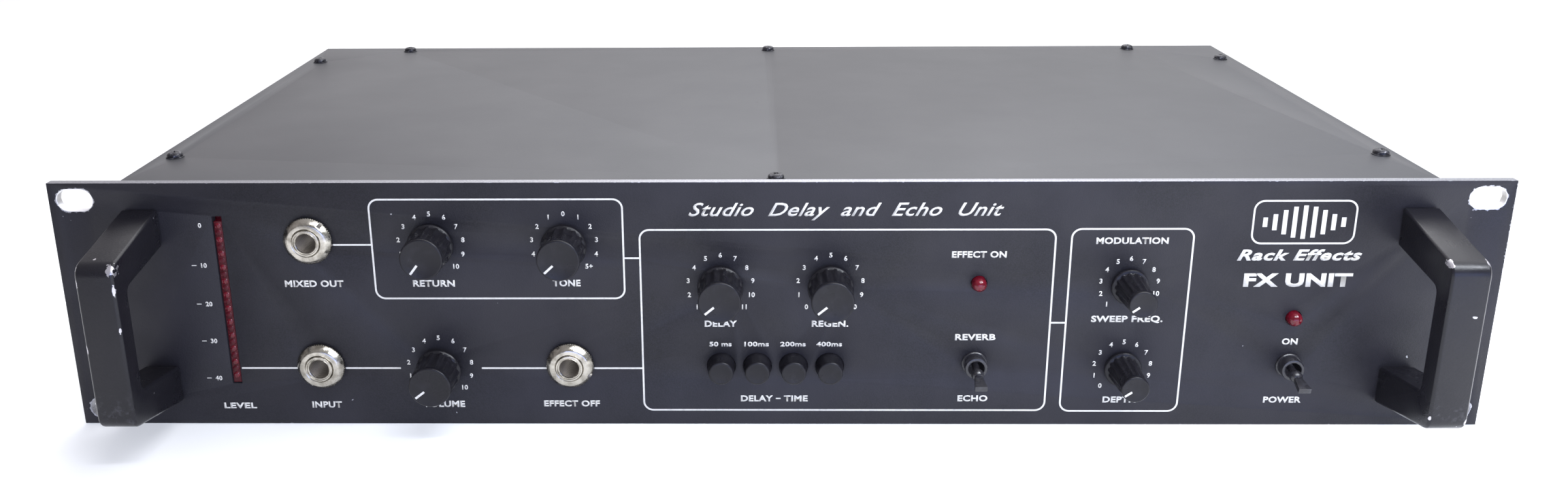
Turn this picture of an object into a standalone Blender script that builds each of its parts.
"""Two-unit rack effects unit: flat front panel with ears and bow handles, sheet-metal chassis,
knobs, buttons, toggle switches, jack sockets, lamps and a bar level meter.

Frame: +X right, +Y from the front panel to the rear, +Z up. The origin is the middle of the
footprint. Sizes are in millimetres here and the helpers turn them into metres. A depth (the
second number of every position) is counted backwards from the front panel's face.
"""
import math

import bpy
import bmesh
from mathutils import Matrix, Vector

MM = 0.001
GAP = 0.3                     # clearance kept between pieces that touch

# ---- driving dimensions -------------------------------------------------------------------
PANEL_WIDTH = 482.6           # 19 inches
PANEL_HEIGHT = 88.1           # two rack units
PANEL_THICK = 3.0
SLOT_SPACING_X = 465.1
SLOT_SPACING_Z = 76.2
SLOT_LENGTH = 12.0
SLOT_WIDTH = 7.6

CHASSIS_WIDTH = 440.0
CHASSIS_TOP = 86.8
CHASSIS_BACK = 227.0
COVER_SHEET = 1.2
FRAME_SHEET = 1.5
FLANGE_WIDTH = 14.0

HANDLE_X = 211.2
HANDLE_WIDTH = 12.2
HANDLE_DEPTH = 34.5
HANDLE_LEG = 13.2             # height of a leg where it meets the panel
HANDLE_RISE = 6.6             # how far the legs slope in towards the grip bar
HANDLE_ROOT_Z = 8.9           # underside of the lower leg at the panel
GRIP_THICK = 8.0

BUTTON_TRAVEL = 3.0
BUTTON_PROUD = 6.1
LEVER_TILT = math.radians(11.0)

FUSE_CAP_PROUD = 9.0
FRONT_Y = -(CHASSIS_BACK + FUSE_CAP_PROUD - HANDLE_DEPTH) / 2   # world Y of the panel's face

# ---- places on the front panel: (x, z) ----------------------------------------------------
LARGE_KNOBS = {
    "return": (-114.9, 66.2),
    "tone": (-70.2, 66.2),
    "volume": (-114.9, 21.5),
    "delay": (-18.2, 51.5),
    "regen": (18.7, 51.5),
}
SMALL_KNOBS = {
    "sweep": (118.5, 51.5),
    "depth": (118.5, 21.4),
}
JACKS = {
    "mixed_out": (-155.8, 68.0),
    "input": (-155.8, 22.3),
    "effect_off": (-70.0, 22.6),
}
BUTTON_Z = 22.0
BUTTON_PITCH = 12.35
BUTTON_FIRST_X = -18.2
BUTTON_NAMES = ("50", "100", "200", "400")
TOGGLES = {
    "mode": (68.2, 23.2),
    "power": (174.6, 22.6),
}
LAMPS = {
    "effect": (68.4, 52.3),
    "power": (174.5, 39.8),
}
METER_X = -185.9
METER_Z = (15.7, 76.2)
METER_WIDTH = 2.7

COVER_SCREWS = {
    "left_front": (-213.5, 35.0),
    "left_rear": (-213.5, 195.0),
    "right_front": (213.5, 35.0),
    "right_rear": (213.5, 195.0),
    "rear_left": (-176.5, 219.5),
    "rear_middle": (0.5, 219.5),
    "rear_right": (176.5, 219.5),
    "front_middle": (0.5, 7.4),
}

# ---- radii of what passes through the panel -----------------------------------------------
BUSHING_RADIUS = 3.3
BUTTON_RADIUS = 4.7
TOGGLE_THREAD_RADIUS = 3.0
JACK_THREAD_RADIUS = 4.6
JACK_BORE_RADIUS = 3.3
LAMP_RADIUS = 2.5
SCREW_SHANK_RADIUS = 1.4


def clear_scene():
    """Remove whatever the file opened with."""
    for scene_object in list(bpy.data.objects):
        bpy.data.objects.remove(scene_object, do_unlink=True)


def finish(name, colour, metallic, roughness):
    """A Principled material of one colour, given as linear red, green and blue."""
    material = bpy.data.materials.new(name)
    material.use_nodes = True
    shader = material.node_tree.nodes["Principled BSDF"]
    shader.inputs["Base Color"].default_value = (*colour, 1.0)
    shader.inputs["Metallic"].default_value = metallic
    shader.inputs["Roughness"].default_value = roughness
    return material


def add_part(name, mesh_builder, material, place=(0.0, 0.0, 0.0), smooth=False):
    """Turn a bmesh in millimetres into an object whose origin is at place."""
    bmesh.ops.remove_doubles(mesh_builder, verts=mesh_builder.verts, dist=0.001)
    bmesh.ops.recalc_face_normals(mesh_builder, faces=mesh_builder.faces)
    if mesh_builder.calc_volume(signed=True) < 0.0:
        bmesh.ops.reverse_faces(mesh_builder, faces=mesh_builder.faces)
    bmesh.ops.transform(mesh_builder, matrix=Matrix.Scale(MM, 4), verts=mesh_builder.verts)
    mesh = bpy.data.meshes.new(name)
    mesh_builder.to_mesh(mesh)
    mesh_builder.free()
    if smooth:
        mesh.shade_smooth()
        mesh.set_sharp_from_angle(angle=math.radians(35.0))
    part = bpy.data.objects.new(name, mesh)
    part.location = (Vector(place) + Vector((0.0, FRONT_Y, 0.0))) * MM
    bpy.context.collection.objects.link(part)
    if material is not None:
        mesh.materials.append(material)
    return part


def add_block(mesh_builder, low, high):
    """Add a box between two corners to a bmesh."""
    size = Vector(high) - Vector(low)
    middle = (Vector(high) + Vector(low)) / 2
    matrix = Matrix.Translation(middle) @ Matrix.Diagonal((*size, 1.0))
    bmesh.ops.create_cube(mesh_builder, size=1.0, matrix=matrix)


def block(name, low, high, material):
    """One box-shaped part."""
    shape = bmesh.new()
    add_block(shape, low, high)
    return add_part(name, shape, material)


def add_prism(mesh_builder, outline, axis, low, high):
    """Extrude a closed outline along X, Y or Z, from low to high."""
    order = {
        "X": lambda a, b, c: (c, a, b),
        "Y": lambda a, b, c: (a, c, b),
        "Z": lambda a, b, c: (a, b, c),
    }
    corners = [mesh_builder.verts.new(order[axis](a, b, low)) for a, b in outline]
    face = mesh_builder.faces.new(corners)
    raised = bmesh.ops.extrude_face_region(mesh_builder, geom=[face])["geom"]
    shift = Vector(order[axis](0.0, 0.0, high - low))
    moved = [item for item in raised if isinstance(item, bmesh.types.BMVert)]
    bmesh.ops.translate(mesh_builder, vec=shift, verts=moved)


FACING = {
    "front": Matrix.Rotation(math.radians(90.0), 4, "X"),
    "back": Matrix.Rotation(math.radians(-90.0), 4, "X"),
    "up": Matrix.Identity(4),
}


def add_turned(mesh_builder, profile, sides, facing, place=(0.0, 0.0, 0.0)):
    """Spin a profile of (radius, height) round its axis; heights grow the way it faces."""
    before = set(mesh_builder.verts)
    ring = [mesh_builder.verts.new((radius, 0.0, height)) for radius, height in profile]
    pairs = list(zip(ring, ring[1:]))
    if profile[0][0] > 0.0:
        pairs.append((ring[-1], ring[0]))
    edges = [mesh_builder.edges.new(pair) for pair in pairs]
    bmesh.ops.spin(
        mesh_builder, geom=ring + edges, cent=(0.0, 0.0, 0.0), axis=(0.0, 0.0, 1.0),
        angle=math.tau, steps=sides, use_merge=True, use_duplicate=False,
    )
    added = [vertex for vertex in mesh_builder.verts if vertex not in before]
    matrix = Matrix.Translation(place) @ FACING[facing]
    bmesh.ops.transform(mesh_builder, matrix=matrix, verts=added)


def turned(name, profile, sides, facing, place, material):
    """A turned part whose origin is on its own axis."""
    shape = bmesh.new()
    add_turned(shape, profile, sides, facing)
    return add_part(name, shape, material, place, smooth=True)


def hide_cutter(cutter):
    """Mark an object as a tool of a Boolean rather than a part."""
    cutter.hide_render = True
    cutter.display_type = "WIRE"


def combine(part, operation, shape, name):
    """Add a bmesh to a part, or take it away, with an exact Boolean."""
    tool = add_part(name, shape, None)
    hide_cutter(tool)
    boolean = part.modifiers.new(name, "BOOLEAN")
    boolean.operation = operation
    boolean.solver = "EXACT"
    boolean.object = tool


def rod(radius, low, high):
    """Profile of a solid rod."""
    return [(0.0, low), (radius, low), (radius, high), (0.0, high)]


def arc(centre, radius, start, end, steps):
    """Points on an arc, angles in degrees."""
    points = []
    for step in range(steps + 1):
        angle = math.radians(start + (end - start) * step / steps)
        points.append((centre[0] + radius * math.cos(angle), centre[1] + radius * math.sin(angle)))
    return points


def stadium(middle, length, width, steps=6):
    """Outline of a slot with round ends."""
    radius = width / 2
    reach = length / 2 - radius
    right = arc((middle[0] + reach, middle[1]), radius, -90.0, 90.0, steps)
    left = arc((middle[0] - reach, middle[1]), radius, 90.0, 270.0, steps)
    return right + left


# ---- finishes -----------------------------------------------------------------------------
def make_finishes():
    """Every finish that the parts use."""
    return {
        "panel": finish("panel black paint", (0.035, 0.035, 0.045), 0.0, 0.5),
        "cover": finish("grey hammered cover paint", (0.28, 0.28, 0.30), 0.1, 0.45),
        "frame": finish("zinc plated sheet", (0.55, 0.56, 0.57), 1.0, 0.4),
        "plastic": finish("black moulded plastic", (0.02, 0.02, 0.024), 0.0, 0.35),
        "nickel": finish("nickel plate", (0.66, 0.64, 0.60), 1.0, 0.25),
        "screw": finish("blackened screw steel", (0.03, 0.03, 0.03), 0.8, 0.4),
        "lens": finish("red lens", (0.35, 0.01, 0.02), 0.0, 0.15),
        "board": finish("green laminate", (0.03, 0.12, 0.05), 0.0, 0.4),
        "iron": finish("lacquered core iron", (0.10, 0.09, 0.08), 0.6, 0.5),
    }


# ---- sheet metal --------------------------------------------------------------------------
def slot_centres():
    """Centres of the four rack slots."""
    middle = PANEL_HEIGHT / 2
    for side in (-1, 1):
        for level in (-1, 1):
            yield side * SLOT_SPACING_X / 2, middle + level * SLOT_SPACING_Z / 2


def button_places():
    """Name and x of each delay-time button."""
    for index, label in enumerate(BUTTON_NAMES):
        yield label, BUTTON_FIRST_X + index * BUTTON_PITCH


def make_front_panel(finishes):
    """The flat panel with its rack slots and every control's hole."""
    panel = block(
        "front_panel", (-PANEL_WIDTH / 2, 0.0, 0.0),
        (PANEL_WIDTH / 2, PANEL_THICK, PANEL_HEIGHT), finishes["panel"],
    )
    holes = bmesh.new()
    for centre in slot_centres():
        add_prism(holes, stadium(centre, SLOT_LENGTH, SLOT_WIDTH), "Y", -1.0, PANEL_THICK + 1.0)
    add_block(
        holes, (METER_X - METER_WIDTH / 2 - GAP, -1.0, METER_Z[0] - GAP),
        (METER_X + METER_WIDTH / 2 + GAP, PANEL_THICK + 1.0, METER_Z[1] + GAP),
    )
    round_holes = [(place, BUSHING_RADIUS) for place in LARGE_KNOBS.values()]
    round_holes += [(place, BUSHING_RADIUS) for place in SMALL_KNOBS.values()]
    round_holes += [(place, JACK_THREAD_RADIUS) for place in JACKS.values()]
    round_holes += [(place, TOGGLE_THREAD_RADIUS) for place in TOGGLES.values()]
    round_holes += [(place, LAMP_RADIUS) for place in LAMPS.values()]
    round_holes += [((x, BUTTON_Z), BUTTON_RADIUS) for _, x in button_places()]
    for (x, z), radius in round_holes:
        profile = rod(radius + GAP, -PANEL_THICK - 1.0, 1.0)
        add_turned(holes, profile, 20, "front", (x, 0.0, z))
    combine(panel, "DIFFERENCE", holes, "panel_holes")


def make_handle(name, middle_x, material):
    """A bow handle: two sloping legs and an upright grip bar, one outline given width."""
    bar = -HANDLE_DEPTH
    inner = bar + GRIP_THICK
    root_low = HANDLE_ROOT_Z
    root_high = PANEL_HEIGHT - HANDLE_ROOT_Z
    low = root_low + HANDLE_RISE
    high = root_high - HANDLE_RISE
    leg = HANDLE_LEG * 0.8
    slope = math.degrees(math.atan2(HANDLE_RISE, HANDLE_DEPTH))
    outer_r = 4.5
    inner_r = 2.5
    outline = [(-GAP, root_low)]
    outline += arc((bar + outer_r, low + outer_r), outer_r, 270.0 - slope, 180.0, 5)
    outline += arc((bar + outer_r, high - outer_r), outer_r, 180.0, 90.0 + slope, 5)
    outline += [(-GAP, root_high), (-GAP, root_high - HANDLE_LEG)]
    outline += arc((inner + inner_r, high - leg - inner_r), inner_r, 90.0 + slope, 180.0, 3)
    outline += arc((inner + inner_r, low + leg + inner_r), inner_r, 180.0, 270.0 - slope, 3)
    outline += [(-GAP, root_low + HANDLE_LEG)]
    shape = bmesh.new()
    add_prism(shape, outline, "X", middle_x - HANDLE_WIDTH / 2, middle_x + HANDLE_WIDTH / 2)
    handle = add_part(name, shape, material)
    bevel = handle.modifiers.new("edges", "BEVEL")
    bevel.width = 0.7 * MM
    bevel.segments = 1
    bevel.limit_method = "ANGLE"
    bevel.angle_limit = math.radians(60.0)


def make_side_frame(name, side, material):
    """A side of the chassis: web, top and bottom flanges and a front flange."""
    outside = CHASSIS_WIDTH / 2
    low = COVER_SHEET + GAP
    high = CHASSIS_TOP - COVER_SHEET - GAP
    front = PANEL_THICK + GAP
    back = CHASSIS_BACK - FRAME_SHEET - GAP

    def corners(x_in, x_out, y0, y1, z0, z1):
        return (min(side * x_in, side * x_out), y0, z0), (max(side * x_in, side * x_out), y1, z1)

    web = corners(outside - FRAME_SHEET, outside, front, back, low, high)
    frame = block(name, *web, material)
    flanges = bmesh.new()
    reach = outside - FLANGE_WIDTH
    bite = outside - 0.4
    add_block(flanges, *corners(reach, bite, front + 0.2, back - 0.2, high - FRAME_SHEET, high))
    combine(frame, "UNION", flanges, name + "_top_flange")
    lower = bmesh.new()
    add_block(lower, *corners(reach, bite, front + 0.2, back - 0.2, low, low + FRAME_SHEET))
    combine(frame, "UNION", lower, name + "_bottom_flange")
    front_flange = bmesh.new()
    add_block(front_flange, *corners(reach, bite, front, front + FRAME_SHEET, low + 0.4, high - 0.4))
    combine(frame, "UNION", front_flange, name + "_front_flange")
    holes = bmesh.new()
    for x, y in COVER_SCREWS.values():
        if x * side > reach:
            profile = rod(SCREW_SHANK_RADIUS + GAP, high - 3.0, high + 1.0)
            add_turned(holes, profile, 10, "up", (x, y, 0.0))
    combine(frame, "DIFFERENCE", holes, name + "_screw_holes")


def make_covers(finishes):
    """Top and bottom plates. The top plate has a hole for each of its screws."""
    half = CHASSIS_WIDTH / 2
    front = PANEL_THICK + GAP
    top = block(
        "top_cover", (-half, front, CHASSIS_TOP - COVER_SHEET),
        (half, CHASSIS_BACK, CHASSIS_TOP), finishes["cover"],
    )
    holes = bmesh.new()
    for x, y in COVER_SCREWS.values():
        profile = rod(SCREW_SHANK_RADIUS + GAP, CHASSIS_TOP - 3.0, CHASSIS_TOP + 1.0)
        add_turned(holes, profile, 12, "up", (x, y, 0.0))
    combine(top, "DIFFERENCE", holes, "cover_screw_holes")
    block("bottom_cover", (-half, front, 0.0), (half, CHASSIS_BACK, COVER_SHEET), finishes["cover"])


INLET_X = 180.0
INLET_Z = 44.0
INLET_SIZE = (27.6, 20.0)
FUSE_PLACE = (140.0, 44.0)
FUSE_RADIUS = 6.2
REAR_JACK_PLACE = (-155.8, 44.0)


def make_rear_panel(finishes):
    """Rear plate with a top lip for the cover's rear screws and holes for its sockets."""
    half = CHASSIS_WIDTH / 2 - FRAME_SHEET - GAP
    low = COVER_SHEET + GAP
    high = CHASSIS_TOP - COVER_SHEET - GAP
    inside = CHASSIS_BACK - FRAME_SHEET
    panel = block("rear_panel", (-half, inside, low), (half, CHASSIS_BACK, high), finishes["frame"])
    lip = bmesh.new()
    lip_half = CHASSIS_WIDTH / 2 - FLANGE_WIDTH - 1.0
    add_block(lip, (-lip_half, inside - 12.5, high - FRAME_SHEET), (lip_half, inside + 0.5, high))
    combine(panel, "UNION", lip, "rear_lip")
    holes = bmesh.new()
    for x, y in COVER_SCREWS.values():
        if y > inside - 12.0:
            profile = rod(SCREW_SHANK_RADIUS + GAP, high - 3.0, high + 1.0)
            add_turned(holes, profile, 12, "up", (x, y, 0.0))
    half_w = INLET_SIZE[0] / 2 + GAP
    half_h = INLET_SIZE[1] / 2 + GAP
    add_block(
        holes, (INLET_X - half_w, inside - 1.0, INLET_Z - half_h),
        (INLET_X + half_w, CHASSIS_BACK + 1.0, INLET_Z + half_h),
    )
    for (x, z), radius in ((FUSE_PLACE, FUSE_RADIUS), (REAR_JACK_PLACE, JACK_THREAD_RADIUS)):
        profile = rod(radius + GAP, inside - 1.0, CHASSIS_BACK + 1.0)
        add_turned(holes, profile, 20, "back", (x, 0.0, z))
    combine(panel, "DIFFERENCE", holes, "rear_holes")


def make_cover_screws(material):
    """Pan-head screws that hold the top cover down."""
    seat = CHASSIS_TOP + GAP
    profile = [
        (0.0, seat - 7.0), (SCREW_SHANK_RADIUS, seat - 7.0), (SCREW_SHANK_RADIUS, seat),
        (3.1, seat), (3.1, seat + 0.7), (2.4, seat + 1.5), (0.9, seat + 1.8),
        (0.6, seat + 0.9), (0.0, seat + 0.9),
    ]
    for key, (x, y) in COVER_SCREWS.items():
        turned("cover_screw_" + key, profile, 12, "up", (x, y, 0.0), material)


# ---- controls -----------------------------------------------------------------------------
SHAFT_RADIUS = 2.0
SHAFT_BORE = 2.4
KNOB_SIDES = 28
PLUNGER_DEPTH = 9.5
LEVER_PIVOT_Y = -1.8


def knob_profile(skirt, waist, cap, height, collar):
    """Half section of a knob: hollow skirt at the panel, bore for the shaft, flat cap."""
    hollow = skirt - 1.4
    return [
        (SHAFT_BORE, height - 2.0), (SHAFT_BORE, 5.2), (hollow, 5.2), (hollow, 0.5),
        (skirt, 0.5), (skirt, collar), (waist, collar + 0.4), (cap, height - 1.4),
        (cap - 0.1, height - 0.4), (cap - 0.6, height), (0.0, height), (0.0, height - 2.0),
    ]


def make_knob(name, place, sizes, material):
    """A knob whose side is fluted: every other column of the side is pulled in."""
    skirt, waist, cap, height, collar = sizes
    shape = bmesh.new()
    profile = knob_profile(skirt, waist, cap, height, collar)
    add_turned(shape, profile, KNOB_SIDES, "front")
    column = math.tau / KNOB_SIDES
    for vertex in shape.verts:
        reach = math.hypot(vertex.co.x, vertex.co.z)
        depth = -vertex.co.y
        on_side = reach > cap - 0.3 and collar + 0.2 < depth < height - 1.0
        if on_side and round(math.atan2(vertex.co.z, vertex.co.x) / column) % 2:
            vertex.co.x *= 1.0 - 0.35 / reach
            vertex.co.z *= 1.0 - 0.35 / reach
    x, z = place
    return add_part(name, shape, material, (x, 0.0, z), smooth=True)


def make_rotary(label, place, sizes, finishes):
    """A knob, the shaft that turns with it, and the potentiometer that holds the shaft."""
    x, z = place
    height = sizes[3]
    knob = make_knob("knob_" + label, place, sizes, finishes["plastic"])
    shaft = turned(
        "pot_shaft_" + label, rod(SHAFT_RADIUS, -9.0, height - 2.0 - GAP), 12, "front",
        (x, 0.0, z), finishes["frame"],
    )
    shaft.parent = knob
    shaft.location = (0.0, 0.0, 0.0)
    body = [
        (0.0, -14.0), (8.0, -14.0), (8.0, -3.6), (BUSHING_RADIUS, -3.6), (BUSHING_RADIUS, 4.2),
        (SHAFT_BORE, 4.2), (SHAFT_BORE, -9.4), (0.0, -9.4),
    ]
    turned("pot_body_" + label, body, 16, "front", (x, 0.0, z), finishes["frame"])


def make_button(label, x, material):
    """A round push button: cap in front of the panel and the plunger behind it."""
    profile = [
        (0.0, -PLUNGER_DEPTH), (2.0, -PLUNGER_DEPTH), (2.0, -4.0), (BUTTON_RADIUS, -4.0),
        (BUTTON_RADIUS, 1.6),
        (4.2, BUTTON_PROUD - 1.0), (3.9, BUTTON_PROUD - 0.3), (3.4, BUTTON_PROUD),
        (0.0, BUTTON_PROUD - 0.25),
    ]
    turned("delay_button_" + label, profile, 24, "front", (x, 0.0, BUTTON_Z), material)


def make_switch_bank(finishes):
    """The switch strip behind the buttons, with a blind hole for each plunger."""
    left = BUTTON_FIRST_X - BUTTON_PITCH / 2
    right = left + BUTTON_PITCH * len(BUTTON_NAMES)
    bank = block(
        "delay_switch_bank", (left, 8.6, BUTTON_Z - 6.5), (right, 20.0, BUTTON_Z + 6.5),
        finishes["frame"],
    )
    holes = bmesh.new()
    for _, x in button_places():
        depth = PLUNGER_DEPTH + BUTTON_TRAVEL + 1.0
        add_turned(holes, rod(2.4, -depth, 0.0), 12, "front", (x, 0.0, BUTTON_Z))
    combine(bank, "DIFFERENCE", holes, "plunger_holes")


def make_toggle(label, place, finishes):
    """A toggle switch: threaded bushing with its round nut, body, and a flat lever."""
    x, z = place
    profile = [
        (0.0, -12.0), (5.5, -12.0), (5.5, -3.6), (TOGGLE_THREAD_RADIUS, -3.6),
        (TOGGLE_THREAD_RADIUS, GAP), (3.8, GAP), (3.8, 4.6), (2.5, 4.6), (2.5, -4.4), (0.0, -4.4),
    ]
    turned("toggle_body_" + label, profile, 20, "front", (x, 0.0, z), finishes["plastic"])
    lever = bmesh.new()
    stem = [(0.0, -2.0), (1.2, -1.6), (1.2, 5.4), (0.0, 5.4)]
    add_turned(lever, stem, 12, "front")
    paddle = bmesh.new()
    add_block(paddle, (-2.1, -13.2, -0.95), (2.1, -5.0, 0.95))
    tilt = Matrix.Rotation(LEVER_TILT, 4, "X")
    bmesh.ops.transform(lever, matrix=tilt, verts=lever.verts)
    offset = Matrix.Translation((x, LEVER_PIVOT_Y, z)) @ tilt
    bmesh.ops.transform(paddle, matrix=offset, verts=paddle.verts)
    pivot = (x, LEVER_PIVOT_Y, z)
    part = add_part("toggle_lever_" + label, lever, finishes["plastic"], pivot, smooth=True)
    combine(part, "UNION", paddle, "paddle_" + label)


def make_jack(label, place, finishes):
    """A quarter-inch jack: threaded bushing and body with its bore, and the round nut."""
    x, z = place
    body = [
        (0.0, -26.0), (8.0, -26.0), (8.0, -3.6), (JACK_THREAD_RADIUS, -3.6),
        (JACK_THREAD_RADIUS, 3.6), (JACK_BORE_RADIUS, 3.6), (JACK_BORE_RADIUS, -24.0), (0.0, -24.0),
    ]
    turned("jack_" + label, body, 20, "front", (x, 0.0, z), finishes["nickel"])
    nut = [
        (JACK_THREAD_RADIUS + GAP, GAP), (7.9, GAP), (7.9, 1.6), (6.2, 3.3),
        (JACK_THREAD_RADIUS + GAP, 3.3),
    ]
    turned("jack_nut_" + label, nut, 24, "front", (x, 0.0, z), finishes["nickel"])


def make_lamp(label, place, finishes):
    """A round indicator lamp pushed through the panel."""
    x, z = place
    profile = [
        (0.0, -7.0), (LAMP_RADIUS, -7.0), (LAMP_RADIUS, 1.2), (2.1, 2.3), (1.3, 3.0), (0.0, 3.3),
    ]
    turned("lamp_" + label, profile, 16, "front", (x, 0.0, z), finishes["lens"])


def make_meter(finishes):
    """The bar meter: a lens strip in the panel's slot and its wider carrier behind."""
    meter = block(
        "level_meter", (METER_X - METER_WIDTH / 2, 0.4, METER_Z[0]),
        (METER_X + METER_WIDTH / 2, 8.0, METER_Z[1]), finishes["lens"],
    )
    carrier = bmesh.new()
    add_block(carrier, (METER_X - 5.0, 3.6, METER_Z[0] - 3.0), (METER_X + 5.0, 11.0, METER_Z[1] + 3.0))
    combine(meter, "UNION", carrier, "meter_carrier")


# ---- inside the chassis -------------------------------------------------------------------
BOARD_Z = 9.0
BOARD_X = (-170.0, 85.0)
BOARD_Y = (45.0, 205.0)


def make_main_board(finishes):
    """The circuit board on its pillars, with rows of chips and capacitors standing on it."""
    board = block(
        "main_board", (BOARD_X[0], BOARD_Y[0], BOARD_Z), (BOARD_X[1], BOARD_Y[1], BOARD_Z + 1.6),
        finishes["board"],
    )
    pillars = bmesh.new()
    for x in (BOARD_X[0] + 8.0, BOARD_X[1] - 8.0):
        for y in (BOARD_Y[0] + 8.0, BOARD_Y[1] - 8.0):
            add_turned(pillars, rod(3.0, COVER_SHEET + GAP, BOARD_Z + 0.3), 8, "up", (x, y, 0.0))
    combine(board, "UNION", pillars, "board_pillars")
    chips = bmesh.new()
    for row in range(3):
        for column in range(5):
            x = BOARD_X[0] + 28.0 + column * 46.0
            y = BOARD_Y[0] + 28.0 + row * 38.0
            add_block(chips, (x, y, BOARD_Z + 1.3), (x + 20.0, y + 7.0, BOARD_Z + 5.2))
    combine(board, "UNION", chips, "board_chips")
    capacitors = bmesh.new()
    for column in range(4):
        place = (BOARD_X[0] + 40.0 + column * 50.0, BOARD_Y[1] - 16.0, 0.0)
        add_turned(capacitors, rod(6.0, BOARD_Z + 1.3, BOARD_Z + 20.0), 10, "up", place)
    combine(board, "UNION", capacitors, "board_capacitors")


def make_transformer(finishes):
    """The mains transformer: a stack of core plates with the winding through it."""
    low = COVER_SHEET + GAP
    core = block("mains_transformer", (120.0, 110.0, low), (176.0, 142.0, low + 47.0), finishes["iron"])
    winding = bmesh.new()
    add_block(winding, (130.0, 100.0, low + 9.0), (166.0, 152.0, low + 38.0))
    combine(core, "UNION", winding, "transformer_winding")


def make_rear_fittings(finishes):
    """Mains inlet with its three pins, fuse holder and rear output jack."""
    half_w = INLET_SIZE[0] / 2
    half_h = INLET_SIZE[1] / 2
    back = CHASSIS_BACK
    inlet = block(
        "mains_inlet", (INLET_X - half_w, back - 22.0, INLET_Z - half_h),
        (INLET_X + half_w, back + 0.8, INLET_Z + half_h), finishes["plastic"],
    )
    rim = bmesh.new()
    add_block(
        rim, (INLET_X - half_w - 2.4, back + GAP, INLET_Z - half_h - 2.4),
        (INLET_X + half_w + 2.4, back + 3.0, INLET_Z + half_h + 2.4),
    )
    combine(inlet, "UNION", rim, "inlet_rim")
    socket = bmesh.new()
    add_block(
        socket, (INLET_X - half_w + 1.6, back - 15.0, INLET_Z - half_h + 1.6),
        (INLET_X + half_w - 1.6, back + 4.0, INLET_Z + half_h - 1.6),
    )
    combine(inlet, "DIFFERENCE", socket, "inlet_socket")
    pins = bmesh.new()
    for x, z in ((-7.0, -1.5), (7.0, -1.5), (0.0, 3.0)):
        add_block(
            pins, (INLET_X + x - 1.0, back - 16.0, INLET_Z + z - 2.0),
            (INLET_X + x + 1.0, back - 1.0, INLET_Z + z + 2.0),
        )
    combine(inlet, "UNION", pins, "inlet_pins")

    fuse = [
        (0.0, -30.0), (5.0, -30.0), (5.0, -2.0), (FUSE_RADIUS, -2.0), (FUSE_RADIUS, GAP),
        (8.0, GAP), (8.0, 2.0), (6.4, 2.4), (6.4, FUSE_CAP_PROUD), (0.0, FUSE_CAP_PROUD),
    ]
    x, z = FUSE_PLACE
    turned("fuse_holder", fuse, 18, "back", (x, back, z), finishes["plastic"])

    x, z = REAR_JACK_PLACE
    body = [
        (0.0, -26.0), (8.0, -26.0), (8.0, -FRAME_SHEET - 0.6),
        (JACK_THREAD_RADIUS, -FRAME_SHEET - 0.6), (JACK_THREAD_RADIUS, GAP), (7.9, GAP),
        (7.9, 1.6), (6.2, 3.3), (JACK_BORE_RADIUS, 3.6), (JACK_BORE_RADIUS, -24.0), (0.0, -24.0),
    ]
    turned("rear_output_jack", body, 20, "back", (x, back, z), finishes["nickel"])


LARGE_KNOB_SIZES = (7.7, 7.4, 6.8, 13.6, 1.6)
SMALL_KNOB_SIZES = (6.2, 5.3, 4.6, 16.6, 1.9)


def build():
    """Model the whole unit."""
    clear_scene()
    finishes = make_finishes()
    make_front_panel(finishes)
    make_handle("handle_left", -HANDLE_X, finishes["panel"])
    make_handle("handle_right", HANDLE_X, finishes["panel"])
    make_side_frame("side_frame_left", -1, finishes["frame"])
    make_side_frame("side_frame_right", 1, finishes["frame"])
    make_covers(finishes)
    make_rear_panel(finishes)
    make_cover_screws(finishes["screw"])
    for label, place in LARGE_KNOBS.items():
        make_rotary(label, place, LARGE_KNOB_SIZES, finishes)
    for label, place in SMALL_KNOBS.items():
        make_rotary(label, place, SMALL_KNOB_SIZES, finishes)
    for label, x in button_places():
        make_button(label, x, finishes["plastic"])
    make_switch_bank(finishes)
    for label, place in TOGGLES.items():
        make_toggle(label, place, finishes)
    for label, place in JACKS.items():
        make_jack(label, place, finishes)
    for label, place in LAMPS.items():
        make_lamp(label, place, finishes)
    make_meter(finishes)
    make_main_board(finishes)
    make_transformer(finishes)
    make_rear_fittings(finishes)
    bpy.context.view_layer.update()


build()
